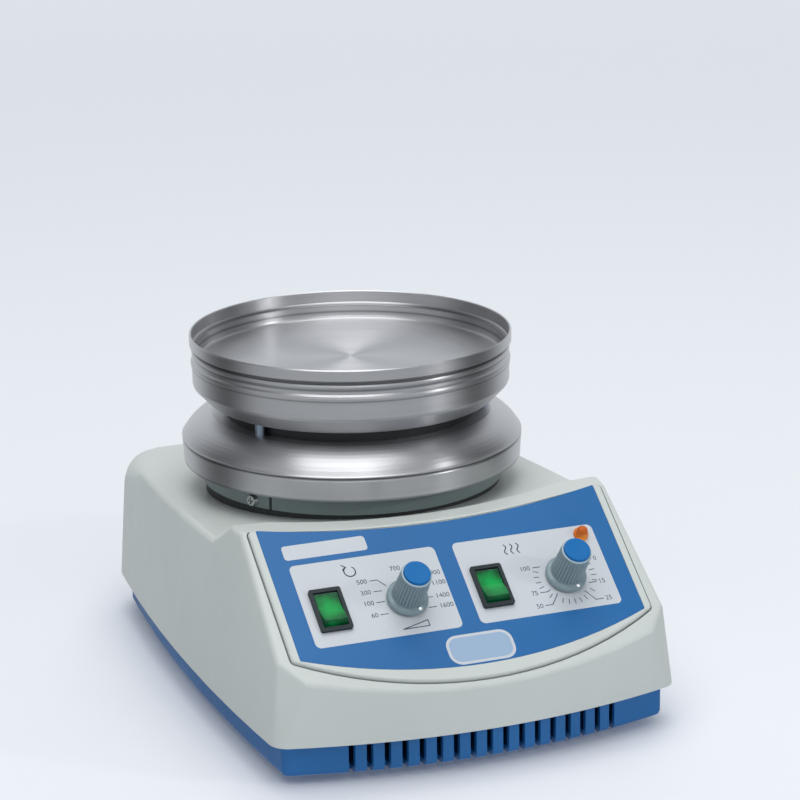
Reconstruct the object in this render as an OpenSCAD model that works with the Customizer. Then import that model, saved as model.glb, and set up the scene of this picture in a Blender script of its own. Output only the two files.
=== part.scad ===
// Heating magnetic stirrer: moulded housing with a sloping control panel, a stainless
// heating dish on a round cover, and a motor that turns two magnets under the dish.
// Front is -Y, up is +Z, z = 0 is the bench, the middle of the box is x = y = 0.

/* [Body] */
// Width of the housing at its lower edge
body_w = 193.2; // [180:0.2:210]
// Front of the housing to the face of the mains inlet
body_d = 283; // [270:1:300]
// Height of the tray's underside above the bench
foot_gap = 4; // [3:0.5:8]
// Height of the housing's lower edge
edge_z = 19.4; // [16:0.1:24]
// Height of the top face under the dish's axis
top_z = 84.5; // [78:0.5:92]
// Wall thickness of the moulded parts
wall = 2.6; // [2:0.1:3.2]

/* [Plate] */
// Distance of the dish's axis behind the middle of the box
plate_y = 23; // [15:1:30]
// Height of the dish's rim, which is the whole height
rim_z = 158; // [150:1:170]
// Outer radius of the dish's rim
rim_r = 74.8; // [70:0.2:78]
// Depth of the dish
dish_depth = 13; // [8:0.5:16]
// Outer radius of the round cover under the dish
cover_r = 79.4; // [77:0.2:82]

/* [Panel] */
// Slope of the control panel in degrees
panel_tilt = 38; // [36:0.5:41]
// Distance of the panel's reference line in front of the middle
panel_y = -84.8; // [-86:0.2:-84]
// Height of the panel's reference line
panel_z = 85; // [84:0.5:86]
// Distance from a switch to the next switch
group_pitch = 75.5; // [70:0.5:78]
// Distance of the switches and knobs below the reference line
control_v = 25; // [20:0.5:30]
// Height of a knob above the panel
knob_h = 20.8; // [16:0.2:24]

/* [Vents] */
// Number of slots in the front of the tray
vent_count = 17; // [9:2:19]
// Distance from one slot to the next
vent_pitch = 7.66; // [7:0.02:8]
// Width of a slot
vent_w = 2.9; // [2:0.1:3.5]

/* [Hidden] */
$fn = 96;
eps = 0.01;

// Colours
cream = [0.80, 0.81, 0.76];
blue = [0.16, 0.38, 0.68];
steel = [0.72, 0.73, 0.75];
black = [0.07, 0.07, 0.08];
grey = [0.45, 0.47, 0.50];

// Plan outline
front_y = -body_d / 2 + 0.1;
inlet_proud = 2;
rear_y = body_d / 2 - inlet_proud;
widest_y = -52;
side_bow = 0.000365;
side_draft = 0.07;
front_r = 293;
front_corner_r = 9;
rear_corner_r = 22;
tray_inset = 5;
top_fall = 0.0425;

rear_round = 15;
rear_spread = rear_corner_r - rear_round;

// Raised control block
shoulder_r = 3;
nose_r = 3;
slope_top_v = -20;
ridge_y = -55.2;
ridge_z = 97.2;
ridge_mid_y = -63;
ridge_mid_z = 93;
top_trough_r = 922;
back_trough_r = 328;
back_fall = 35;
notch_y = -41;
split_y = -64;
block_top_w = 88;
block_taper = 0.05;
plate_rise = 1.2;

// Plate stack, from the top down
dish_floor_z = rim_z - dish_depth;
floor_t = 2;
casing_z = 126.5;
cover_top_z = 120.5;
cover_edge_z = 110;
cover_low_z = 98.5;
band_z = 89.6;
band_top_z = 97.8;
band_r = 70.5;
shaft_r = 3;
post_angles = [63, 175, 287];

// Controls
switch_u = [-60.4, -60.4 + group_pitch];
knob_u = [-25, -25 + group_pitch];
spindle_r = 3;
spindle_hole_r = 3.05;
plate_t = 2;
label_t = 0.5;
rocker_rest = 9;
lamp_uv = [65.5, 4.9];

// Rear inlet
inlet_x = -38;
inlet_z = 41;

// ---------- shared geometry ----------

function half_w(y) = body_w / 2 - side_bow * pow(y - widest_y, 2);
function half_w_at(y, z) = half_w(y) - side_draft * (z - edge_z);
function front_at(x) = front_y + x * x / (2 * front_r);
function top_at(y) = top_z - top_fall * (y - plate_y);
function panel_pt(u, v, n) = [u, panel_y - v * cos(panel_tilt) - n * sin(panel_tilt),
    panel_z - v * sin(panel_tilt) + n * cos(panel_tilt)];

// Places children on the panel: X across, Y up the slope, Z out of the panel
module on_panel(u = 0, v = 0, n = 0) {
    translate([0, panel_y, panel_z]) rotate([panel_tilt, 0, 0]) translate([u, -v, n]) children();
}

module on_axis(z = 0) {
    translate([0, plate_y, z]) children();
}

module ring(r_out, r_in, h) {
    difference() {
        cylinder(r = r_out, h = h);
        translate([0, 0, -1]) cylinder(r = r_in, h = h + 2);
    }
}

// Solid turned about the dish's axis from radius and height pairs
module turned(points) {
    on_axis() rotate_extrude() polygon(points);
}

module round_rect(w, h, r) {
    offset(r = r, $fn = 32) square([w - 2 * r, h - 2 * r], center = true);
}

// Sharp-cornered plan of the housing's lower edge, its front moved forward by extra
module raw_plan(extra = 0) {
    sides = [for (i = [0 : 12]) let (y = front_y - extra + 14 + i * (rear_y - front_y + extra - 14) / 12)
        [half_w(max(y, front_y + 14)), y]];
    front = [for (x = [-90 : 10 : 90]) [x, front_at(x) - extra]];
    mirrored = [for (i = [len(sides) - 1 : -1 : 0]) [-sides[i][0], sides[i][1]]];
    polygon(concat(sides, mirrored, front));
}

module rounded_plan(extra, r) {
    offset(r = r) offset(delta = -r) raw_plan(extra);
}

// Plan of the lower edge, moved inwards by inset
module plan(inset = 0) {
    offset(delta = -inset) intersection() {
        rounded_plan(0, front_corner_r);
        rounded_plan(60, rear_corner_r);
    }
}

module plan_slab(inset, y_from, y_to, z) {
    translate([0, 0, z]) linear_extrude(0.6) intersection() {
        plan(inset, $fn = 40);
        translate([-body_w, y_from]) square([2 * body_w, y_to - y_from]);
    }
}

// Rear part of the housing's form, moved inwards by w
module rear_form(w = 0) {
    hull() {
        plan_slab(w, split_y - 10, rear_y, edge_z - (w > 0 ? 1 : 0));
        for (s = [-1, 1]) {
            for (y = [notch_y + 0.8, 0, 40, 84])
                translate([s * (half_w_at(y, top_z) - shoulder_r), y, top_at(y) - shoulder_r])
                    sphere(r = shoulder_r - w, $fn = 24);
            translate([s * 66, split_y + shoulder_r, top_at(split_y + shoulder_r) - shoulder_r])
                sphere(r = shoulder_r - w, $fn = 24);
            for (a = [0, 45, 90])
                translate([s * (half_w_at(rear_y - rear_corner_r, 65) - rear_corner_r + rear_spread * cos(a)),
                    rear_y - rear_corner_r + rear_spread * sin(a), top_at(rear_y - rear_round) - rear_round])
                    sphere(r = rear_round - w, $fn = 40);
        }
    }
}

// Sphere centre under the panel's front edge at x
function nose_centre(x) = let (y = front_at(x) + nose_r,
    v = (panel_y + (nose_r + plate_rise) * sin(panel_tilt) - y) / cos(panel_tilt))
    panel_pt(x, v, -nose_r - plate_rise);
function shoulder_x(v) = block_top_w + block_taper * (v - slope_top_v) - shoulder_r;

// Raised block with the sloping panel, moved inwards by w
module block_form(w = 0) {
    difference() {
        hull() {
            plan_slab(w - 0.1, front_y - 1, split_y + 30, edge_z - (w > 0 ? 1 : 0));
            for (s = [-1, 1]) {
                for (v = [slope_top_v, 15, 46])
                    translate(panel_pt(s * shoulder_x(v), v, -shoulder_r - plate_rise))
                        sphere(r = shoulder_r - w, $fn = 24);
                translate([s * (block_top_w + 0.8 - shoulder_r), ridge_y - shoulder_r,
                    ridge_z + 0.8 - shoulder_r]) sphere(r = shoulder_r - w, $fn = 24);
                translate([s * (half_w_at(notch_y, top_z) - shoulder_r), notch_y - 0.8,
                    top_at(notch_y) - shoulder_r]) sphere(r = shoulder_r - w, $fn = 24);
            }
            for (x = [-80 : 20 : 80])
                translate(nose_centre(x)) sphere(r = nose_r - min(w, nose_r - 0.3), $fn = 24);
        }
        trough(top_trough_r, 0, w);
        trough(back_trough_r, back_fall, w);
    }
}

// Shallow trough that falls towards the back and dips the block between its two ends
module trough(r, fall, w) {
    translate([0, ridge_mid_y, ridge_mid_z]) rotate([-90 - fall, 0, 0]) translate([0, -r, -60])
        cylinder(r = r + w, h = 110, $fn = 480);
}

// ---------- panel outlines, drawn with Y up the slope ----------

groove_u = 85.2;
groove_mid_v = 69.8;
groove_r = 175;
label_u = 81;
label_mid_v = 62.5;
label_r = 226;
label_top_v = 12.2;
label_top_r = 393;
plate_top_v = 13.4;
plate_top_r = 420;

// Shape between two arcs: lower arc bulges down the slope, upper edge dips in the middle
module panel_shape(u, mid_v, low_r, top_v, top_r, corner) {
    step = u / 10;
    low = [for (i = [-10 : 10]) [i * step, -mid_v + low_r - sqrt(low_r * low_r - pow(i * step, 2))]];
    high = [for (i = [10 : -1 : -10]) [i * step, top_v + top_r - sqrt(top_r * top_r - pow(i * step, 2))]];
    offset(r = corner, $fn = 32) offset(delta = -corner) polygon(concat(low, high));
}

module plate_outline(inset = 0) {
    offset(delta = -inset) panel_shape(groove_u, groove_mid_v, groove_r, plate_top_v, plate_top_r, 3);
}

module label_outline(inset = 0) {
    offset(delta = -inset) panel_shape(label_u, label_mid_v, label_r, label_top_v, label_top_r, 0.8);
}

module control_holes(depth) {
    for (u = switch_u)
        on_panel(u, control_v, -depth) linear_extrude(depth + 2) square([13.2, 19.4], center = true);
    for (u = knob_u)
        on_panel(u, control_v, -depth) cylinder(r = 4.2, h = depth + 2);
    on_panel(lamp_uv[0], lamp_uv[1], -depth) cylinder(r = 2.9, h = depth + 2);
}

// ---------- housing and base ----------

boss_places = [[86, -100], [-86, -100], [79, 92], [-79, 92]];
lip_z = edge_z + 1.5;

module housing_shell() {
    color(cream) difference() {
        union() {
            difference() {
                union() {
                    rear_form(0);
                    block_form(0);
                }
                rear_form(wall);
                block_form(wall);
            }
            // frame that the front plate lies on
            intersection() {
                block_form(0.4);
                on_panel(0, 0, -plate_t - 3.8) linear_extrude(2.4) difference() {
                    plate_outline(-2);
                    plate_outline(4.5);
                }
            }
            // ledge that closes the gap to the tray
            translate([0, 0, edge_z]) linear_extrude(3) difference() {
                plan(0.3);
                plan(tray_inset - 0.2);
            }
            // screw bosses, each on a rib to the side wall
            for (p = boss_places) translate([p[0], p[1], lip_z + 0.1]) {
                cylinder(r = 4.6, h = 20, $fn = 48);
                translate([p[0] > 0 ? 0 : -7, -1.5, 0]) cube([7, 3, 18]);
            }
        }
        // seat and window of the front plate
        on_panel(0, 0, -plate_t - 1.4) linear_extrude(10) plate_outline(0);
        on_panel(0, 0, -12) linear_extrude(12) plate_outline(4.5);
        // opening for the motor and the plate stack
        on_axis(60) cylinder(r = 58, h = 60);
        for (p = boss_places)
            translate([p[0], p[1], edge_z - 1]) cylinder(r = 1.7, h = 18, $fn = 32);
        // inlet opening in the rear wall
        translate([inlet_x, rear_y, inlet_z]) cube([28.4, 20, 32.4], center = true);
    }
}

module base_tray() {
    color(blue) difference() {
        union() {
            difference() {
                translate([0, 0, foot_gap]) hull() {
                    linear_extrude(0.2) plan(tray_inset + 2.2, $fn = 48);
                    translate([0, 0, 1]) linear_extrude(0.2) plan(tray_inset + 0.6, $fn = 48);
                    translate([0, 0, 2.4]) linear_extrude(lip_z - foot_gap - 2.4) plan(tray_inset, $fn = 48);
                }
                translate([0, 0, foot_gap + wall]) linear_extrude(40) plan(tray_inset + wall, $fn = 48);
            }
            for (p = boss_places)
                translate([p[0] * 0.965, p[1], foot_gap + 1]) cylinder(r = 6, h = lip_z - foot_gap - 1);
        }
        for (i = [0 : vent_count - 1])
            let (x = (i - (vent_count - 1) / 2) * vent_pitch)
                translate([x - vent_w / 2, front_at(x) - 1, foot_gap - 1])
                    cube([vent_w, tray_inset + wall + 5, edge_z - foot_gap + 1]);
        for (p = boss_places) {
            translate([p[0], p[1], 0]) cylinder(r = 1.9, h = 30, $fn = 32);
            translate([p[0], p[1], 0]) cylinder(r = 3.8, h = foot_gap + 6, $fn = 32);
        }
    }
}

module rubber_feet() {
    color(black) for (s = [-1, 1], y = [front_y + 42, rear_y - 34]) translate([s * 66, y, 0])
        rotate_extrude() polygon([[0, 0], [7.4, 0], [8.2, 0.9], [8.6, foot_gap], [0, foot_gap]]);
}

module base_screws() {
    color(steel) for (p = boss_places) translate([p[0], p[1], foot_gap + 4]) difference() {
        union() {
            cylinder(r = 3.4, h = 2, $fn = 48);
            cylinder(r = 1.65, h = 18, $fn = 32);
        }
        cross_slot(3.6, 0.8, 1);
    }
}

// Cross recess of a screw, cut upwards from z = 0
module cross_slot(length, width, depth) {
    for (a = [0, 90])
        rotate(a) translate([-length / 2, -width / 2, -1]) cube([length, width, depth + 1]);
}

// ---------- control panel ----------

module front_plate() {
    color(cream) difference() {
        union() {
            on_panel(0, 0, -plate_t - 1.35) linear_extrude(plate_t + 0.35) plate_outline(0.7);
            for (k = [0 : 4])
                let (a = 18 * (k + 1))
                    on_panel(0, 0, -1.01) linear_extrude(0.01 + sin(a)) plate_outline(1.7 - cos(a));
        }
        on_panel(0, 0, -label_t) linear_extrude(5) label_outline(0);
        control_holes(8);
    }
}

module panel_label() {
    color(blue) difference() {
        on_panel(0, 0, -label_t) linear_extrude(label_t - 0.1) label_outline(0.15);
        control_holes(8);
    }
}

bezel_w = 14.6;
bezel_l = 21.4;
bezel_h = 1.6;
rocker_r = 8.5;
pivot_n = -1.6;
pin_r = 1;

module switch_case(u) {
    color(black) on_panel(u, control_v, 0) difference() {
        union() {
            linear_extrude(bezel_h) round_rect(bezel_w, bezel_l, 1);
            translate([0, 0, -16]) linear_extrude(16 + eps) square([12.9, 19.1], center = true);
            for (y = [-6, 0, 6])
                translate([-0.4, y - 2.4, -24]) cube([0.8, 4.8, 8.5]);
        }
        translate([0, 0, -11]) linear_extrude(20) square([11.2, 17.8], center = true);
        translate([0, 0, pivot_n]) rotate([0, 90, 0]) cylinder(r = pin_r + 0.05, h = 14, center = true);
    }
}

// Rocker with two flats that meet over its pivot, at rest with its upper end pressed
module switch_rocker(u) {
    color([0.10, 0.55, 0.22]) on_panel(u, control_v, pivot_n) rotate([-rocker_rest, 0, 0]) union() {
        rotate([0, 90, 0]) rotate([0, 0, 90]) linear_extrude(10.6, center = true) intersection() {
            circle(r = rocker_r);
            polygon([[-10, -4.5], [10, -4.5], [10, 2.8 + 10 * tan(rocker_rest)], [0, 2.8],
                [-10, 2.8 + 10 * tan(rocker_rest)]]);
        }
        rotate([0, 90, 0]) cylinder(r = pin_r, h = 12.4, center = true);
    }
}

module motor_switch_case() { switch_case(switch_u[0]); }
module heater_switch_case() { switch_case(switch_u[1]); }
module motor_rocker() { switch_rocker(switch_u[0]); }
module heater_rocker() { switch_rocker(switch_u[1]); }

module neon_lamp() {
    color([0.95, 0.42, 0.08]) on_panel(lamp_uv[0], lamp_uv[1]) rotate_extrude()
        polygon(concat([[0, -14], [2, -14], [2, -9], [2.8, -9], [2.8, 0], [3.4, 0], [3.4, 0.7], [2.6, 0.7]],
            [for (a = [0 : 15 : 90]) [2.5 * cos(a), 2.8 + 2.2 * sin(a)]]));
}

// Body of a rotary control with its threaded bush, hollow for the spindle
module rotary_control(u, r, depth) {
    on_panel(u, control_v) difference() {
        union() {
            translate([0, 0, -5 - depth]) cylinder(r = r, h = depth);
            translate([0, 0, -5 - eps]) cylinder(r = 3.9, h = 8);
            for (x = [-4, 0, 4])
                translate([x - 0.8, -r - 5, -4 - depth]) cube([1.6, 7, 0.8]);
        }
        translate([0, 0, -5 - depth + 2]) cylinder(r = spindle_hole_r, h = depth + 12);
    }
}

module speed_potentiometer() { color(grey) rotary_control(knob_u[0], 12, 11); }
module heat_regulator() { color(black) rotary_control(knob_u[1], 16, 24); }

module panel_nuts() {
    color(steel) for (u = knob_u) on_panel(u, control_v, 0) difference() {
        cylinder(r = 6, h = 2, $fn = 6);
        translate([0, 0, -1]) cylinder(r = 4, h = 4);
    }
}

module spindle(u, depth) {
    color(steel) on_panel(u, control_v, -5 - depth + 2.2) cylinder(r = spindle_r, h = depth + 14);
}

module speed_spindle() { spindle(knob_u[0], 11); }
module heat_spindle() { spindle(knob_u[1], 24); }

flutes = 30;
skirt_r = 9.3;
grip_low_r = 7.4;
grip_top_r = 6.8;
grip_h = 15.4;

// Fluted grip on a smooth skirt, hollow underneath and bored for the spindle
module knob(u) {
    color(grey) on_panel(u, control_v, 0) difference() {
        union() {
            translate([0, 0, 0.6]) rotate_extrude()
                polygon([[0, 0], [skirt_r, 0], [skirt_r, 1.6], [skirt_r - 0.5, 2.2], [grip_low_r, 3.4], [0, 3.4]]);
            translate([0, 0, 3.6]) linear_extrude(grip_h, scale = grip_top_r / grip_low_r)
                polygon([for (i = [0 : 4 * flutes - 1])
                    let (r = grip_low_r - 0.35 + 0.35 * cos(i * 90))
                    [r * cos(i * 90 / flutes), r * sin(i * 90 / flutes)]]);
            translate([0, 0, 3.6 + grip_h - eps]) cylinder(r1 = grip_top_r - 0.1, r2 = grip_top_r - 0.6, h = 0.9);
        }
        translate([0, 0, -1]) cylinder(r = 7.2, h = 4.2);
        translate([0, 0, -1]) cylinder(r = spindle_hole_r, h = 13);
    }
}

module speed_knob() { knob(knob_u[0]); }
module heat_knob() { knob(knob_u[1]); }

module knob_cap(u) {
    base = 3.6 + grip_h + 0.89;
    color([0.10, 0.36, 0.66]) on_panel(u, control_v, base)
        rotate_extrude() polygon([[0, 0], [6, 0], [6, 0.6], [5.7, knob_h - base], [0, knob_h - base]]);
}

module speed_knob_cap() { knob_cap(knob_u[0]); }
module heat_knob_cap() { knob_cap(knob_u[1]); }

// ---------- plate stack ----------

// Seal that fills the wedge between the sloping top and the level clamp band
module gasket_ring() {
    color(black) difference() {
        on_axis(top_z - 6) ring(band_r - 1.6, 59, band_z - top_z + 6);
        rear_top_cut();
    }
}

// Everything under the housing's sloping top face
module rear_top_cut() {
    translate([0, plate_y, top_z]) rotate([-atan(top_fall), 0, 0])
        translate([-120, -120, -60 + 0.02]) cube([240, 240, 60]);
}

band_slit = -53;
screw_turn = -61;
screw_z = 92.5;

module clamp_band() {
    color([0.44, 0.50, 0.49]) difference() {
        on_axis(band_z) ring(band_r, band_r - 6, band_top_z - band_z);
        on_axis() rotate(band_slit) translate([-0.7, -band_r - 2, band_z - 1])
            cube([1.4, 12, 20]);
        on_axis(screw_z) rotate(screw_turn) rotate([90, 0, 0]) translate([0, 0, band_r - 4])
            cylinder(r = 1.6, h = 10, $fn = 32);
    }
}

module clamp_screw() {
    color(steel) on_axis(screw_z) rotate(screw_turn) rotate([90, 0, 0]) difference() {
        union() {
            translate([0, 0, band_r + 0.02]) cylinder(r1 = 3.1, r2 = 2.3, h = 1.7, $fn = 48);
            translate([0, 0, band_r - 3.8]) cylinder(r = 1.55, h = 4, $fn = 32);
        }
        translate([0, 0, band_r + 1.72]) mirror([0, 0, 1]) cross_slot(3.4, 0.7, 1);
    }
}

// Pressed cover: slightly domed shoulder, straight skirt, open underneath
module cover_flange() {
    skin = 1.2;
    from = [65.5, cover_top_z];
    to = [cover_r - 0.5, cover_edge_z + 0.4];
    bulge = [1.1, 1.4];
    shoulder = [for (t = [0 : 0.125 : 1]) from + (to - from) * t + 4 * t * (1 - t) * bulge];
    inner = [for (i = [len(shoulder) - 1 : -1 : 0]) shoulder[i] - [skin, skin]];
    color(steel) turned(concat([[8, cover_top_z - skin], [8, cover_top_z]], shoulder,
        [[cover_r, cover_edge_z - 0.1], [cover_r, cover_edge_z - 0.6], [cover_r - 0.35, cover_edge_z - 1],
         [cover_r - 0.3, cover_edge_z - 1.6], [cover_r - 0.1, cover_edge_z - 2.2], [cover_r - 0.7, cover_low_z],
         [cover_r - 0.7 - skin, cover_low_z]], inner));
}

module spacer_posts() {
    color([0.45, 0.52, 0.62]) for (a = post_angles) on_axis(cover_top_z)
        rotate(-a) translate([0, -62, 0]) cylinder(r = 2.4, h = casing_z - cover_top_z, $fn = 48);
}

module insulating_ring() {
    color(black) on_axis(cover_top_z) ring(59, 46, casing_z - cover_top_z);
}

// Lower drum that holds the heater, closed below, open above
module heater_casing() {
    t = 1;
    c = casing_z;
    color(steel) turned([[16, c], [65.5, c], [67, c + 0.7], [73.3, c + 7.3], [73.8, c + 8.6],
        [73.8, dish_floor_z - 2.1], [73.8 - t, dish_floor_z - 2.1], [73.8 - t, c + 9],
        [72.4, c + 7.8], [66.4, c + 1.6], [65.2, c + t], [16, c + t]]);
}

// Pan with a lipped rim, a bead and two grooves around its wall
module heating_dish() {
    f = dish_floor_z;
    r = rim_r;
    z = rim_z;
    color(steel) turned([[0, f - floor_t], [r - 0.6, f - floor_t], [r - 0.4, f - 0.4], [r - 0.7, f + 0.6],
        [r - 1.5, f + 1.4], [r - 1.6, z - 10.2], [r - 1.4, z - 9.4], [r - 0.9, z - 8.6], [r - 0.8, z - 7.9],
        [r - 1.1, z - 7.2], [r - 1.8, z - 6.8], [r - 1.8, z - 6.2], [r - 0.9, z - 5.7], [r, z - 5],
        [r, z - 0.5], [r - 0.4, z], [r - 0.9, z - 0.3], [r - 1.3, z - 5.4], [r - 2.8, z - 6.8],
        [r - 3.2, f + 1.4], [r - 3.6, f + 0.5], [r - 4.6, f], [0, f]]);
}

module heating_element() {
    color([0.55, 0.42, 0.30]) on_axis(dish_floor_z - floor_t - 5) ring(64, 30, 5);
}

module insulation_disc() {
    color([0.85, 0.83, 0.78]) on_axis(casing_z + 1.2) ring(64.5, 29, 5);
}

module thermal_cutout() {
    color(black) on_axis(dish_floor_z - floor_t - 10) translate([46, 0, 0]) {
        cylinder(r = 7, h = 5, $fn = 48);
        for (s = [-1, 1])
            translate([s * 3 - 0.4, -9, 1.4]) cube([0.8, 5, 2]);
    }
}

// ---------- motor and drive ----------

can_r = 27;
can_low_z = 22;
can_top_z = 72;
bearing_r = 8;

// Plate in the housing's opening that carries the motor on dampers, with a tube for the cover
module motor_bracket() {
    color(grey) difference() {
        union() {
            on_axis(band_z - 2) ring(57.6, 12, 2.1);
            on_axis(band_z + 0.02) ring(63.8, 50, 2);
            on_axis(band_z + 1.9) ring(63.8, 61.8, cover_top_z - band_z - 3.12);
        }
        for (a = [45 : 90 : 315])
            on_axis(60) rotate(a) translate([22, 0, 0]) cylinder(r = 2.2, h = 60, $fn = 32);
    }
}

module bracket_screws() {
    seat = band_z + 0.1 - can_top_z + 6;
    color(steel) for (a = [45 : 90 : 315]) on_axis(0) rotate(a) translate([22, 0, can_top_z - 6])
        difference() {
            union() {
                cylinder(r = 1.95, h = seat, $fn = 32);
                translate([0, 0, seat]) cylinder(r = 3.6, h = 2.2, $fn = 48);
            }
            translate([0, 0, seat + 2.2]) mirror([0, 0, 1]) cross_slot(4, 0.8, 1.2);
        }
}

module motor_dampers() {
    color(black) for (a = [45 : 90 : 315])
        on_axis(can_top_z) rotate(a) translate([22, 0, 0]) ring(4.6, 2, band_z - 2 - can_top_z);
}

module motor_can() {
    color([0.52, 0.53, 0.55]) difference() {
        union() {
            on_axis(can_low_z) cylinder(r = can_r, h = can_top_z - can_low_z);
            on_axis(can_top_z - eps) cylinder(r = 11, h = 4);
            on_axis(can_low_z + 12) for (a = [0 : 60 : 300])
                rotate(a) translate([can_r - 1, -3, 0]) cube([2, 6, 26]);
        }
        on_axis(can_low_z + 3) cylinder(r = bearing_r, h = 60);
        for (a = [45 : 90 : 315])
            on_axis(0) rotate(a) translate([22, 0, can_top_z - 7]) cylinder(r = 2, h = 8, $fn = 32);
    }
}

module motor_bearings() {
    color(steel) for (z = [can_low_z + 4, can_top_z - 3]) on_axis(z) ring(bearing_r - 0.02, shaft_r + 0.05, 5);
}

module motor_shaft() {
    color(steel) on_axis(can_low_z + 3.4) {
        cylinder(r = shaft_r, h = 108);
        translate([0, 0, 8]) cylinder(r = 7.4, h = 34);
    }
}

carrier_z = casing_z + 2.6;

module magnet_carrier() {
    color(grey) on_axis(carrier_z) difference() {
        union() {
            translate([-25, -9, 0]) cube([50, 18, 4]);
            cylinder(r = 10, h = 6);
            for (s = [-1, 1]) translate([s * 18, 0, 0]) cylinder(r = 9, h = 4);
        }
        translate([0, 0, -1]) cylinder(r = shaft_r + 0.02, h = 20);
        for (s = [-1, 1]) translate([s * 18, 0, 1.4]) cylinder(r = 7, h = 20);
    }
}

module drive_magnets() {
    color([0.30, 0.30, 0.33]) for (s = [-1, 1])
        on_axis(carrier_z + 1.4) translate([s * 18, 0, 0]) cylinder(r = 6.95, h = 8.6);
}

// ---------- rear inlet ----------

socket_w = 24;
socket_h = 16.5;

module at_inlet() {
    translate([inlet_x, rear_y, inlet_z]) rotate([90, 0, 180]) children();
}

// Rear-mounted inlet: flange, well for the connector and a slot for the fuse drawer below it
module mains_inlet() {
    color(black) at_inlet() difference() {
        union() {
            translate([0, 0, 0.02]) linear_extrude(inlet_proud - 0.02) round_rect(36, 38, 3);
            translate([0, 0, -26]) linear_extrude(26.1) square([27.8, 31.8], center = true);
        }
        translate([0, 6, -15]) linear_extrude(30) polygon([[-socket_w / 2, -socket_h / 2],
            [socket_w / 2, -socket_h / 2], [socket_w / 2, 4], [socket_w / 2 - 4.5, socket_h / 2],
            [-socket_w / 2 + 4.5, socket_h / 2], [-socket_w / 2, 4]]);
        translate([0, -9.6, -20]) linear_extrude(30) square([22.4, 8.4], center = true);
    }
}

module inlet_pins() {
    color(steel) at_inlet() for (p = [[-7, 4], [7, 4], [0, 8]])
        translate([p[0] - 1, p[1] - 2, -15]) cube([2, 4, 12]);
}

module fuse_drawer() {
    color([0.12, 0.12, 0.13]) at_inlet() difference() {
        union() {
            translate([0, -9.6, -19]) linear_extrude(19 + 0.8) square([21.8, 7.8], center = true);
            translate([0, -9.6, 0.8 - eps]) linear_extrude(0.8) square([12, 4], center = true);
        }
        translate([-10, -9.6, -9]) rotate([0, 90, 0]) cylinder(r = 2.7, h = 20, $fn = 48);
        translate([-10, -9.6 - 2.7, -17]) cube([20, 5.4, 8]);
    }
}

module fuse_link() {
    color([0.80, 0.82, 0.84]) at_inlet() translate([-9.8, -9.6, -9])
        rotate([0, 90, 0]) cylinder(r = 2.6, h = 19.6, $fn = 48);
}

// ---------- electronics ----------

board_z = 15;

module control_board() {
    color([0.12, 0.36, 0.20]) difference() {
        translate([-62, -88, board_z]) cube([124, 66, 1.6]);
        for (s = [-1, 1], y = [-84, -26])
            translate([s * 57, y, board_z - 2]) cylinder(r = 1.7, h = 6, $fn = 32);
    }
}

module board_parts() {
    color([0.20, 0.20, 0.22]) translate([0, 0, board_z + 1.6]) {
        translate([-52, -60, 0]) cube([30, 26, 24]);
        translate([-8, -50, 0]) cylinder(r = 6.5, h = 20);
        translate([10, -50, 0]) cylinder(r = 6.5, h = 20);
        translate([26, -66, 0]) cube([3, 26, 18]);
        translate([36, -60, 0]) cube([16, 26, 11]);
        translate([-20, -82, 0]) cube([40, 9, 10]);
    }
}

module board_posts() {
    color(steel) for (s = [-1, 1], y = [-84, -26]) translate([s * 57, y, foot_gap + wall]) {
        cylinder(r = 3, h = board_z - foot_gap - wall, $fn = 48);
        cylinder(r = 1.65, h = board_z - foot_gap - wall + 3.4, $fn = 32);
    }
}

base_tray();
housing_shell();
front_plate();
panel_label();
rubber_feet();
base_screws();
mains_inlet();
inlet_pins();
fuse_drawer();
fuse_link();
motor_switch_case();
heater_switch_case();
motor_rocker();
heater_rocker();
neon_lamp();
speed_potentiometer();
heat_regulator();
panel_nuts();
speed_spindle();
heat_spindle();
speed_knob();
heat_knob();
speed_knob_cap();
heat_knob_cap();
gasket_ring();
clamp_band();
clamp_screw();
cover_flange();
spacer_posts();
insulating_ring();
heater_casing();
heating_dish();
heating_element();
insulation_disc();
thermal_cutout();
motor_bracket();
bracket_screws();
motor_dampers();
motor_can();
motor_bearings();
motor_shaft();
magnet_carrier();
drive_magnets();
control_board();
board_parts();
board_posts();
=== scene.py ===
"""Looks of the heating magnetic stirrer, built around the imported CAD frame. Metres, Z up."""
import math

import bpy
import bmesh
from mathutils import Matrix, Vector


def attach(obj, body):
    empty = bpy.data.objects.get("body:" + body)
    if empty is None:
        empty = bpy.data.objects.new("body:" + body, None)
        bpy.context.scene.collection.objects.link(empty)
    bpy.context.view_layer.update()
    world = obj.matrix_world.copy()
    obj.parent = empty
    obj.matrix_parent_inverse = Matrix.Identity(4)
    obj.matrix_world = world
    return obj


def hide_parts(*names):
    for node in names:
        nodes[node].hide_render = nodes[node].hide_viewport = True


MM = 0.001
BODY = "stirrer_body"
# The dish's axis and the control panel, in millimetres: ALONG runs down the slope, OUT away from it.
AXIS_Y = 23.0
TILT = math.radians(38)
PANEL = Vector((0, -84.8, 85.0))
ALONG = Vector((0, -math.cos(TILT), -math.sin(TILT)))
OUT = Vector((0, -math.sin(TILT), math.cos(TILT)))


# ---------- frame and camera ----------

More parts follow.
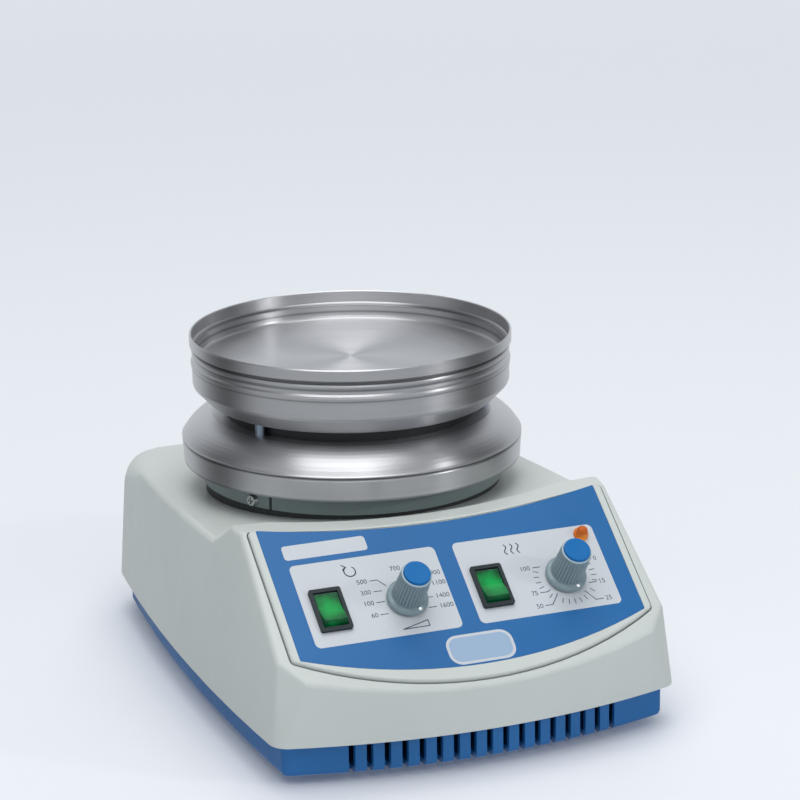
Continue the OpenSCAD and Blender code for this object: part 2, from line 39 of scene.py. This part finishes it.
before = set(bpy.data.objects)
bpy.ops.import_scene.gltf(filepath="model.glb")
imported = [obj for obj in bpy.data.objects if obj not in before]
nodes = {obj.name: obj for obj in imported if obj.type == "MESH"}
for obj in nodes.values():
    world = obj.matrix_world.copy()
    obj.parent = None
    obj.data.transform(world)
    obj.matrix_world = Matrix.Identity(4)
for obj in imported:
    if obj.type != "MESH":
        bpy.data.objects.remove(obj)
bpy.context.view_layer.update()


def add_camera():
    """Long lens from the left front, a little above the dish."""
    place = Vector((-498.64, -1276.32, 515.92)) * MM
    yaw, pitch, roll = math.radians(21.930), math.radians(15.762), math.radians(-0.791)
    forward = Vector((math.sin(yaw) * math.cos(pitch), math.cos(yaw) * math.cos(pitch), -math.sin(pitch)))
    right = Vector((math.cos(yaw), -math.sin(yaw), 0))
    up = right.cross(forward)
    side = math.cos(roll) * right + math.sin(roll) * up
    top = -math.sin(roll) * right + math.cos(roll) * up
    turn = Matrix((side, top, -forward)).transposed()
    cam = bpy.data.objects.new("camera", bpy.data.cameras.new("camera"))
    cam.matrix_world = Matrix.Translation(place) @ turn.to_4x4()
    cam.data.sensor_width = 36
    cam.data.lens = 139.24
    cam.data.clip_start = 0.05
    cam.data.clip_end = 60
    bpy.context.scene.collection.objects.link(cam)
    bpy.context.scene.camera = cam


add_camera()


# ---------- material helpers ----------

class Shader:
    """A new material's node tree, with short ways to add nodes."""

    def __init__(self, name):
        self.mat = bpy.data.materials.new(name)
        self.mat.use_nodes = True
        self.tree = self.mat.node_tree
        self.bsdf = self.tree.nodes["Principled BSDF"]
        self.coord = self.tree.nodes.new("ShaderNodeTexCoord").outputs["Object"]

    def put(self, socket, value):
        """Links a socket to a node's output, or sets it to a constant."""
        if isinstance(value, bpy.types.NodeSocket):
            self.tree.links.new(value, socket)
        else:
            socket.default_value = value

    def math(self, op, a, b=0.0):
        n = self.tree.nodes.new("ShaderNodeMath")
        n.operation = op
        self.put(n.inputs[0], a)
        self.put(n.inputs[1], b)
        return n.outputs[0]

    def scaled(self, vector, scale):
        n = self.tree.nodes.new("ShaderNodeMapping")
        self.put(n.inputs["Vector"], vector)
        n.inputs["Scale"].default_value = scale
        return n.outputs[0]

    def noise(self, scale, detail=3.0, vector=None):
        n = self.tree.nodes.new("ShaderNodeTexNoise")
        self.put(n.inputs["Vector"], vector or self.coord)
        n.inputs["Scale"].default_value = scale
        n.inputs["Detail"].default_value = detail
        return n.outputs["Fac"]

    def ramp(self, fac, stops):
        """Colour ramp through (position, colour) stops."""
        n = self.tree.nodes.new("ShaderNodeValToRGB")
        self.put(n.inputs[0], fac)
        while len(n.color_ramp.elements) < len(stops):
            n.color_ramp.elements.new(0.5)
        for e, (at, colour) in zip(n.color_ramp.elements, stops):
            e.position = at
            e.color = (*colour, 1)
        return n.outputs["Color"]

    def between(self, fac, low, high):
        """Spreads the middle half of a noise over the range from low to high."""
        n = self.tree.nodes.new("ShaderNodeMapRange")
        self.put(n.inputs["Value"], fac)
        n.inputs["From Min"].default_value = 0.25
        n.inputs["From Max"].default_value = 0.75
        n.inputs["To Min"].default_value = low
        n.inputs["To Max"].default_value = high
        return n.outputs[0]

    def bump(self, height, strength, distance=0.0002):
        n = self.tree.nodes.new("ShaderNodeBump")
        n.inputs["Strength"].default_value = strength
        n.inputs["Distance"].default_value = distance
        self.put(n.inputs["Height"], height)
        self.put(self.bsdf.inputs["Normal"], n.outputs[0])

    def set(self, **values):
        """Sets or links inputs of the surface shader by name."""
        for name, v in values.items():
            self.put(self.bsdf.inputs[name.replace("_", " ")], v)


def moulded(name, colour, rough=0.45, grain=700, depth=0.12, shine=0.5, vary=0.03):
    """Moulded plastic, rubber or paint: fine grain, faint patches in colour and gloss."""
    s = Shader(name)
    patch = s.noise(14, 4)
    dark = tuple(c * (1 - vary) for c in colour)
    light = tuple(min(1, c * (1 + vary)) for c in colour)
    s.set(Base_Color=s.ramp(patch, [(0.3, dark), (0.7, light)]))
    s.set(Roughness=s.between(s.noise(90, 4), rough - 0.05, rough + 0.05))
    s.set(Specular_IOR_Level=shine)
    s.bump(s.noise(grain, 2), depth)
    return s.mat


def spun_steel(name, colour, crease_shade=(), rough=0.36, ring_depth=0.25):
    """Stainless sheet spun on a lathe: fine rings round the dish's axis.

    Painted shade darkens each crease of the profile: each band is given by its height and reach in millimetres
    and the depth of its painted shade.
    """
    s = Shader(name)
    split = s.tree.nodes.new("ShaderNodeSeparateXYZ")
    s.put(split.inputs[0], s.coord)
    x, y, z = split.outputs
    y = s.math("SUBTRACT", y, AXIS_Y * MM)
    r = s.math("SQRT", s.math("ADD", s.math("MULTIPLY", x, x), s.math("MULTIPLY", y, y)))
    turn = s.math("ARCTAN2", y, x)
    rings = s.tree.nodes.new("ShaderNodeCombineXYZ")
    s.put(rings.inputs[0], s.math("MULTIPLY", r, 9.0))
    s.put(rings.inputs[1], s.math("MULTIPLY", z, 9.0))
    s.put(rings.inputs[2], s.math("MULTIPLY", turn, 0.012))
    fine = s.noise(420, 3, rings.outputs[0])
    smear = s.noise(60, 4, rings.outputs[0])
    blotch = s.noise(35, 4)
    mixed = s.math("ADD", s.math("MULTIPLY", smear, 0.6), s.math("MULTIPLY", blotch, 0.4))
    low = tuple(c * 0.9 for c in colour)
    # Painted shade: the colour is darkened in a band round each crease height.
    shade = 1.0
    for height, reach, depth in crease_shade:
        off = s.math("DIVIDE", s.math("ABSOLUTE", s.math("SUBTRACT", z, height * MM)), reach * MM)
        near = s.math("MAXIMUM", s.math("SUBTRACT", 1.0, off), 0.0)
        shade = s.math("MULTIPLY", shade, s.math("SUBTRACT", 1.0, s.math("MULTIPLY", near, depth)))
    shaded_tint = s.tree.nodes.new("ShaderNodeVectorMath")
    shaded_tint.operation = "SCALE"
    s.put(shaded_tint.inputs[0], s.ramp(mixed, [(0.3, low), (0.7, colour)]))
    s.put(shaded_tint.inputs["Scale"], shade)
    s.set(Metallic=1.0, Base_Color=shaded_tint.outputs[0])
    s.set(Roughness=s.between(mixed, rough - 0.04, rough + 0.06))
    s.bump(fine, ring_depth, 0.00005)
    round_way = s.tree.nodes.new("ShaderNodeCombineXYZ")
    s.put(round_way.inputs[0], s.math("MULTIPLY", y, -1.0))
    s.put(round_way.inputs[1], x)
    s.set(Tangent=round_way.outputs[0], Anisotropic=0.8, Anisotropic_Rotation=0.25)
    return s.mat


def plain_metal(name, colour, rough=0.3, scale=(1, 1, 1)):
    """Plated or turned metal with fine scratches."""
    s = Shader(name)
    lines = s.noise(900, 2, s.scaled(s.coord, scale))
    worn = tuple(c * 0.88 for c in colour)
    s.set(Metallic=1.0, Base_Color=s.ramp(s.noise(60, 3), [(0.3, worn), (0.7, colour)]))
    s.set(Roughness=s.between(lines, rough - 0.06, rough + 0.08))
    s.bump(lines, 0.15, 0.00005)
    return s.mat


def glowing(name, core, rim, strength):
    """Lit translucent plastic, brightest in the middle."""
    s = Shader(name)
    box = s.tree.nodes.new("ShaderNodeTexCoord").outputs["Generated"]
    away = s.tree.nodes.new("ShaderNodeVectorMath")
    away.operation = "DISTANCE"
    s.put(away.inputs[0], box)
    away.inputs[1].default_value = (0.5, 0.5, 0.5)
    mottle = s.math("MULTIPLY", s.math("SUBTRACT", s.noise(160, 2), 0.5), 0.5)
    fall = s.math("ADD", away.outputs["Value"], mottle)
    glow = s.ramp(fall, [(0.12, core), (0.62, rim)])
    s.set(Base_Color=glow, Emission_Color=glow, Emission_Strength=strength, Roughness=0.3,
          Specular_IOR_Level=0.25)
    s.bump(s.noise(220, 2), 0.2)
    return s.mat


CREAM = moulded("cream", (0.565, 0.605, 0.585), 0.42, 900, 0.10)
BLUE = moulded("tray_blue", (0.012, 0.135, 0.385), 0.5, 500, 0.35, 0.4, vary=0.08)
LABEL = moulded("label_blue", (0.013, 0.130, 0.36), 0.38, 300, 0.05, 0.35, vary=0.04)
WHITE = moulded("label_white", (0.55, 0.585, 0.625), 0.38, 300, 0.05)
PALE = moulded("label_pale", (0.30, 0.42, 0.58), 0.38, 300, 0.05)
INK = moulded("label_ink", (0.06, 0.08, 0.11), 0.5, 300, 0.05)
BLACK = moulded("black", (0.007, 0.009, 0.010), 0.42, 500, 0.10, vary=0.15)
BEZEL = moulded("bezel", (0.014, 0.024, 0.028), 0.5, 500, 0.10, 0.3, vary=0.15)
RUBBER = moulded("rubber", (0.030, 0.033, 0.036), 0.6, 700, 0.3, vary=0.2)
GREY = moulded("knob_grey", (0.215, 0.29, 0.32), 0.18, 600, 0.05, vary=0.05)
# Pale grey that stands for a painted highlight along each grip's top rim.
RIM_HIGHLIGHT = moulded("rim_painted_highlight", (0.38, 0.50, 0.56), 0.25, 600, 0.05)
CAP = moulded("cap_blue", (0.002, 0.14, 0.41), 0.45, 400, 0.06, 0.25)
BAND = moulded("band", (0.20, 0.25, 0.25), 0.45, 500, 0.10)
SOOT = moulded("black_paint", (0.012, 0.013, 0.015), 0.5, 400, 0.25, vary=0.2)
CLAY = moulded("clay", (0.40, 0.30, 0.22), 0.8, 250, 0.5, vary=0.12)
FIBRE = moulded("fibre", (0.72, 0.70, 0.64), 0.85, 200, 0.6, vary=0.08)
MOTOR = moulded("motor_paint", (0.09, 0.095, 0.105), 0.4, 350, 0.2, vary=0.1)
BOARD = moulded("board_green", (0.02, 0.12, 0.05), 0.35, 300, 0.15, vary=0.15)
PARTS = moulded("components", (0.05, 0.05, 0.055), 0.45, 300, 0.15, vary=0.25)
# Each crease of the dish and the cover darkened as painted shade: height and reach in millimetres, then the
# depth of shade.
DISH_CREASE_SHADE = [(151.6, 1.0, 0.75), (148.2, 0.9, 0.55), (143.2, 0.7, 0.45)]
COVER_CREASE_SHADE = [(108.9, 0.9, 0.8), (98.8, 0.8, 0.5)]
STEEL = spun_steel("stainless", (0.58, 0.58, 0.60), DISH_CREASE_SHADE)
COVER = spun_steel("stainless_cover", (0.58, 0.58, 0.60), COVER_CREASE_SHADE)
SCREW = plain_metal("zinc", (0.55, 0.57, 0.58), 0.32)
POST = plain_metal("post_steel", (0.30, 0.36, 0.45), 0.3)
SHEET = plain_metal("sheet_steel", (0.45, 0.47, 0.49), 0.42, (1, 8, 1))
ALLOY = plain_metal("alloy", (0.60, 0.61, 0.63), 0.35)
NICKEL = plain_metal("nickel", (0.70, 0.68, 0.62), 0.22)
MAGNET = plain_metal("magnet", (0.16, 0.16, 0.18), 0.4)
GREEN = glowing("rocker_green", (0.0, 0.33, 0.06), (0.0, 0.05, 0.015), 0.28)
AMBER = glowing("lamp_amber", (0.85, 0.36, 0.05), (0.42, 0.09, 0.01), 0.25)


def fuse_glass():
    """Clear glass tube with faint ripples."""
    s = Shader("fuse_glass")
    s.set(Base_Color=(0.85, 0.9, 0.92, 1), Roughness=s.between(s.noise(80), 0.03, 0.08))
    s.set(Transmission_Weight=0.9, IOR=1.5)
    s.bump(s.noise(60, 2), 0.04)
    return s.mat


FUSE = fuse_glass()

LOOK = {
    "base_tray": BLUE, "housing_shell": CREAM, "front_plate": CREAM, "panel_label": LABEL,
    "rubber_feet": RUBBER, "base_screws": SCREW, "mains_inlet": BLACK, "inlet_pins": NICKEL,
    "fuse_drawer": BLACK, "fuse_link": FUSE, "motor_switch_case": BEZEL,
    "heater_switch_case": BEZEL, "motor_rocker": GREEN, "heater_rocker": GREEN,
    "neon_lamp": AMBER, "speed_potentiometer": BLACK, "heat_regulator": BLACK,
    "panel_nuts": SCREW, "speed_spindle": ALLOY, "heat_spindle": ALLOY, "speed_knob": GREY,
    "heat_knob": GREY, "speed_knob_cap": CAP, "heat_knob_cap": CAP, "gasket_ring": RUBBER,
    "clamp_band": BAND, "clamp_screw": SCREW, "cover_flange": COVER, "spacer_posts": POST,
    "insulating_ring": SOOT, "heater_casing": STEEL, "heating_dish": STEEL,
    "heating_element": CLAY, "insulation_disc": FIBRE, "thermal_cutout": BLACK,
    "motor_bracket": SHEET, "bracket_screws": SCREW, "motor_dampers": RUBBER,
    "motor_can": MOTOR, "motor_bearings": NICKEL, "motor_shaft": ALLOY,
    "magnet_carrier": ALLOY, "drive_magnets": MAGNET, "control_board": BOARD,
    "board_parts": PARTS, "board_posts": SCREW,
}


def finish(o, mat, angle=35):
    """Gives an object its material and smooth shading, with edges sharper than the angle kept."""
    o.data.materials.clear()
    o.data.materials.append(mat)
    for p in o.data.polygons:
        p.use_smooth = True
    o.data.set_sharp_from_angle(angle=math.radians(angle))


def even_shading(o):
    """Large flat faces keep their own normals, so the rounds between them shade without bands."""
    w = o.modifiers.new("even", "WEIGHTED_NORMAL")
    w.keep_sharp = True


for name, o in nodes.items():
    finish(o, LOOK[name])
for name in ("housing_shell", "base_tray", "front_plate"):
    even_shading(nodes[name])


# ---------- mesh helpers ----------

def panel_matrix(u, v):
    """Places a piece on the panel, u across and v down the slope: X across, Y up the slope, Z out."""
    place = (PANEL + Vector((u, 0, 0)) + ALONG * v) * MM
    turn = Matrix((Vector((1, 0, 0)), -ALONG, OUT)).transposed()
    return Matrix.Translation(place) @ turn.to_4x4() @ Matrix.Scale(MM, 4)


def add_mesh(name, verts, faces, mat, body, matrix, angle):
    """New piece from vertices in millimetres, placed by the matrix and riding on the body."""
    me = bpy.data.meshes.new(name)
    me.from_pydata(verts, [], faces)
    me.validate()
    bm = bmesh.new()
    bm.from_mesh(me)
    bmesh.ops.recalc_face_normals(bm, faces=bm.faces)
    bm.to_mesh(me)
    bm.free()
    o = bpy.data.objects.new(name, me)
    bpy.context.scene.collection.objects.link(o)
    me.transform(matrix)
    finish(o, mat, angle)
    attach(o, body)
    return o


# ---------- knobs ----------

# Places of the two dials on the panel, in millimetres.
KNOB_U = (-25.0, 50.5)
CONTROL_V = 25.0
RIBS = 30


GRIP_STEPS = RIBS * 8
CAP_STEPS = 72
# Rings of (radius, height, flute depth), from the underside up.
GRIP = [(7.4, 0.8), (9.0, 0.8), (9.3, 1.05), (9.3, 1.75), (9.24, 2.1), (9.1, 2.4), (8.88, 2.62), (8.6, 2.78),
        (7.6, 3.22), (7.48, 3.3), (7.42, 3.4, 0.1), (7.4, 3.7, 0.55), (7.38, 4.2, 0.6), (7.2, 10.5, 0.6),
        (6.95, 17.2, 0.5), (6.88, 18.3, 0.4), (6.8, 18.9, 0.12), (6.65, 19.25), (6.3, 19.45), (6.05, 19.45),
        (6.0, 19.2)]
# Thin ring over the grip's top edge, which carries the painted highlight of the rim.
GRIP_EDGE_HIGHLIGHT = [(6.75, 19.1), (6.7, 19.3), (6.5, 19.48), (6.25, 19.52), (6.02, 19.48), (6.0, 19.2)]
DISC = [(5.95, 19.3), (5.95, 20.35), (5.85, 20.62), (5.6, 20.78), (5.3, 20.8), (4.0, 20.72), (2.0, 20.67)]


def turned(name, rings, count, mat, u, body, open_ring=False):
    """Piece turned round a dial's axis: closed flat at both ends, or open through its middle."""
    verts = []
    for r, h, *flute in rings:
        for i in range(count):
            a = 2 * math.pi * i / count
            groove = (0.5 - 0.5 * math.cos(RIBS * a)) ** 2
            reach = r - flute[0] * groove if flute else r
            verts.append((reach * math.cos(a), reach * math.sin(a), h))
    n = len(rings)
    faces = []
    for k in range(n if open_ring else n - 1):
        here, above = k * count, (k + 1) % n * count
        faces += [(here + i, here + (i + 1) % count, above + (i + 1) % count, above + i) for i in range(count)]
    if not open_ring:
        faces.append(tuple((n - 1) * count + i for i in range(count)))
        faces.append(tuple(range(count - 1, -1, -1)))
    o = add_mesh(name, verts, faces, mat, body, panel_matrix(u, CONTROL_V), 50)
    return o


DIALS = list(zip(("speed", "heat"), KNOB_U))
for dial, u in DIALS:
    grip = turned(f"{dial}_grip", GRIP, GRIP_STEPS, GREY, u, f"{dial}_dial")
    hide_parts(f"{dial}_knob")
# Each grip's top edge gets a pale ring as a painted highlight.
for dial, u in DIALS:
    turned(f"{dial}_rim", GRIP_EDGE_HIGHLIGHT, CAP_STEPS, RIM_HIGHLIGHT, u, f"{dial}_dial", open_ring=True)
for dial, u in DIALS:
    disc = turned(f"{dial}_disc", DISC, CAP_STEPS, CAP, u, f"{dial}_dial")
    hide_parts(f"{dial}_knob_cap")


# ---------- panel print ----------

# Height of the film's face, the thickness of one printed layer, and the height of the ink over both layers.
FILM = -0.1
LAYER = 0.02
INK_TOP = FILM + 2 * LAYER


def box_outline(u0, u1, v0, v1, r, steps=8):
    """Outline of a rounded box, from its limits across and down the slope."""
    corners = [(u1 - r, -v0 - r, 0), (u0 + r, -v0 - r, 90), (u0 + r, -v1 + r, 180), (u1 - r, -v1 + r, 270)]
    points = []
    for cu, cy, start in corners:
        for i in range(steps + 1):
            a = math.radians(start + 90 * i / steps)
            points.append((cu + r * math.cos(a), cy + r * math.sin(a)))
    return points


def printed(name, outline, mat, level=1):
    """Printed area on the film; a higher level lies over a lower one."""
    n = len(outline)
    verts = [(x, y, FILM - LAYER) for x, y in outline] + [(x, y, FILM + LAYER * level) for x, y in outline]
    faces = [tuple(range(n, 2 * n)), tuple(range(n - 1, -1, -1))]
    faces += [(i, (i + 1) % n, n + (i + 1) % n, n + i) for i in range(n)]
    o = add_mesh(name, verts, faces, mat, BODY, panel_matrix(0, 0), 20)


def line(points, width):
    """Printed line through points given across and down the slope, as vertices and faces."""
    verts, faces = [], []
    for (u0, v0), (u1, v1) in zip(points, points[1:]):
        along = Vector((u1 - u0, v1 - v0))
        across = Vector((-along.y, along.x)).normalized() * width / 2
        end = along.normalized() * width / 2
        n = len(verts)
        for tip, way in (((u0, v0), -1), ((u1, v1), 1)):
            for side in (-1, 1):
                c = Vector(tip) + end * way + across * side
                verts.append((c.x, -c.y, INK_TOP))
        faces.append((n, n + 1, n + 3, n + 2))
    return verts, faces


def inked(name, parts):
    """One printed piece from several lists of vertices and faces, given the thickness of a layer."""
    verts, faces = [], []
    for vs, fs in parts:
        n = len(verts)
        verts += vs
        faces += [tuple(n + i for i in f) for f in fs]
    o = add_mesh(name, verts, faces, INK, BODY, panel_matrix(0, 0), 20)
    solid = o.modifiers.new("thickness", "SOLIDIFY")
    solid.thickness = LAYER * MM
    solid.offset = 0


def number(text, u, v):
    """Outline figures centred on a point of the panel, as vertices and faces."""
    curve = bpy.data.curves.new("figures", "FONT")
    curve.body = text
    curve.size = FIGURE_SIZE
    curve.align_x = "CENTER"
    curve.align_y = "CENTER"
    curve.resolution_u = 3
    o = bpy.data.objects.new("figures", curve)
    me = o.to_mesh()
    verts = [(p.co.x + u, p.co.y - v, INK_TOP) for p in me.vertices]
    faces = [tuple(f.vertices) for f in me.polygons]
    o.to_mesh_clear()
    bpy.data.objects.remove(o)
    bpy.data.curves.remove(curve)
    return verts, faces


def around(cu, cv, r, degrees):
    """Point round a centre, in degrees clockwise from the top of the panel."""
    return cu + r * math.sin(math.radians(degrees)), cv - r * math.cos(math.radians(degrees))


FIGURE_SIZE = 3.3
LEADER_WIDTH = 0.38
TICK_WIDTH = 0.36
SIGN_WIDTH = 0.5
# Radii round a dial: where leaders end, where a bent leader is worth drawing, and the ticks.
LEADER_END = 11.0
LEADER_MIN = 12.6
TICK_FROM = 12.4
TICK_TO = 14.6
# Ticks closer to a leader than this many degrees are left out.
TICK_CLEAR = 6.5
SPEED_MARKS = [("60", -41.6, 30.7), ("100", -42.4, 24.4), ("300", -42.0, 18.8), ("500", -42.1, 13.1),
               ("700", -25.2, 8.6), ("900", -7.9, 13.5), ("1100", -8.0, 18.8), ("1400", -8.3, 25.5),
               ("1600", -8.2, 30.7)]
HEAT_MARKS = [("0", 67.5, 18.1), ("15", 66.5, 30.2), ("25", 66.6, 39.2), ("50", 33.5, 38.5), ("75", 33.5, 31.7),
              ("100", 33.3, 18.5)]
HEAT_TICKS = [60 + i * 12 for i in range(21)]


def dial_print(name, cu, marks, ticks):
    """Numbers with their leader lines, and the ticks that no leader crosses."""
    parts = []
    taken = []
    for text, u, v in marks:
        parts.append(number(text, u, v))
        if abs(u - cu) < 5:
            continue
        inward = 1 if u < cu else -1
        reach = 1.0 * len(text) + 0.8
        bend = Vector((u + inward * (reach + 3.4), v))
        away = bend - Vector((cu, CONTROL_V))
        points = [(u + inward * reach, v), tuple(bend)]
        if away.length > LEADER_MIN:
            part = LEADER_END / away.length
            points.append((cu + away.x * part, CONTROL_V + away.y * part))
        parts.append(line(points, LEADER_WIDTH))
        taken.append(math.degrees(math.atan2(away.y, away.x)))
    for a in ticks:
        if all(abs((a - 90 - t + 180) % 360 - 180) > TICK_CLEAR for t in taken):
            parts.append(line([around(cu, CONTROL_V, at, a) for at in (TICK_FROM, TICK_TO)], TICK_WIDTH))
    inked(name, parts)


for i, (u0, u1) in enumerate(((-72.0, -4.2), (4.2, 72.0))):
    printed(f"white_field_{i}", box_outline(u0, u1, 0.0, 42.8, 2.6), WHITE)
printed("name_field", box_outline(-72.4, -33.8, -10.5, -3.0, 1.6), WHITE)
printed("plaque", box_outline(-15.5, 15.5, 46.6, 61.4, 5.6), WHITE)
printed("plaque_inside", box_outline(-14.2, 14.2, 47.9, 60.1, 4.4), PALE, level=2)

dial_print("speed_print", KNOB_U[0], SPEED_MARKS, [])
dial_print("heat_print", KNOB_U[1], HEAT_MARKS, HEAT_TICKS)

# Generic signs: a turning arrow for stirring, three waves for heat, a rising wedge for speed.
turn_arc = [around(-45.7, 6.8, 2.6, 40 + 290 * i / 29) for i in range(30)]
arrow_head = [(-48.6, 3.2), (-46.9, 4.4), (-48.6, 5.6)]
inked("stir_sign", [line(turn_arc, SIGN_WIDTH), line(arrow_head, SIGN_WIDTH)])
waves = [[(27.9 + 3 * k + 0.7 * math.sin(t * 1.3), 4.6 + t) for t in range(6)] for k in range(3)]
inked("heat_sign", [line(wave, SIGN_WIDTH) for wave in waves])
inked("speed_sign", [line([(-31, 39.6), (-19, 39.6), (-19, 36.6), (-31, 39.6)], 0.45)])


# ---------- lights and background ----------

def area(name, place, aim, size, power):
    """Rectangular soft light at a place, turned towards its aim."""
    light = bpy.data.lights.new(name, "AREA")
    light.shape = "RECTANGLE"
    light.size, light.size_y = size
    light.energy = power
    o = bpy.data.objects.new(name, light)
    o.location = place
    o.rotation_mode = "QUATERNION"
    o.rotation_quaternion = (Vector(aim) - Vector(place)).to_track_quat("-Z", "Y")
    bpy.context.scene.collection.objects.link(o)


# The surround: its middle line's turn from straight ahead, its strength, what is added behind the object, and
# what is taken away in a band to each side. The band's middle and half width are cosines of that turn.
FACING = math.radians(22)
SURROUND = 0.56
SURROUND_BEHIND = 0.30
SURROUND_DIM = 0.45
DIM_MIDDLE = -0.22
DIM_HALF = 0.52


def add_world():
    """Soft studio surround: pale in front and behind, darker to the two sides."""
    world = bpy.data.worlds.new("studio")
    bpy.context.scene.world = world
    world.use_nodes = True
    tree = world.node_tree

    def calc(op, a, b=0.0):
        n = tree.nodes.new("ShaderNodeMath")
        n.operation = op
        for socket, value in zip(n.inputs, (a, b)):
            if isinstance(value, bpy.types.NodeSocket):
                tree.links.new(value, socket)
            else:
                socket.default_value = value
        return n.outputs[0]

    def along(direction):
        n = tree.nodes.new("ShaderNodeVectorMath")
        n.operation = "DOT_PRODUCT"
        tree.links.new(look, n.inputs[0])
        n.inputs[1].default_value = direction
        return n.outputs["Value"]

    look = tree.nodes.new("ShaderNodeTexCoord").outputs["Generated"]
    ahead = along((-math.sin(FACING), -math.cos(FACING), 0))
    aside = along((math.cos(FACING), -math.sin(FACING), 0))
    squares = calc("ADD", calc("MULTIPLY", ahead, ahead), calc("MULTIPLY", aside, aside))
    cosine = calc("DIVIDE", ahead, calc("SQRT", calc("ADD", squares, 0.0001)))
    off = calc("DIVIDE", calc("SUBTRACT", cosine, DIM_MIDDLE), DIM_HALF)
    dim = calc("MAXIMUM", calc("SUBTRACT", 1.0, calc("MULTIPLY", off, off)), 0.0)
    behind = calc("MAXIMUM", calc("MULTIPLY", cosine, -1.0), 0.0)
    added = calc("MULTIPLY", calc("POWER", behind, 3.0), SURROUND_BEHIND)
    glow = calc("SUBTRACT", added, calc("MULTIPLY", dim, SURROUND_DIM))
    tree.links.new(calc("ADD", glow, SURROUND), tree.nodes["Background"].inputs["Strength"])
    tree.nodes["Background"].inputs["Color"].default_value = (0.93, 0.97, 1.0, 1)


def add_floor():
    """Plain pale round floor, a little brighter far away."""
    n, reach, bright_at = 96, 12.0, 4.0
    ring = [(reach * math.cos(2 * math.pi * i / n), reach * math.sin(2 * math.pi * i / n), 0) for i in range(n)]
    me = bpy.data.meshes.new("floor")
    me.from_pydata(ring, [], [tuple(range(n))])
    floor = bpy.data.objects.new("floor", me)
    bpy.context.scene.collection.objects.link(floor)
    s = Shader("floor")
    far = s.tree.nodes.new("ShaderNodeVectorMath")
    far.operation = "LENGTH"
    s.put(far.inputs[0], s.coord)
    glow = s.ramp(s.math("DIVIDE", far.outputs["Value"], bright_at),
                  [(0.05, (0.065, 0.07, 0.08)), (0.75, (0.35, 0.37, 0.40))])
    s.set(Base_Color=(0.75, 0.765, 0.80, 1), Roughness=0.6, Emission_Color=glow, Emission_Strength=1.0)
    floor.data.materials.append(s.mat)
    floor.visible_glossy = False


add_world()
add_floor()
area("top", (-0.12, -0.15, 1.5), (-0.02, 0, 0.1), (1.1, 1.8), 15)
area("front", (-0.1, -1.7, 1.4), (0, 0, 0.1), (0.9, 0.7), 1.3)
area("spark", (1.3, -1.32, 0.83), (0, 0, 0.08), (0.14, 0.14), 4.5)
bpy.context.scene.view_settings.view_transform = "Standard"
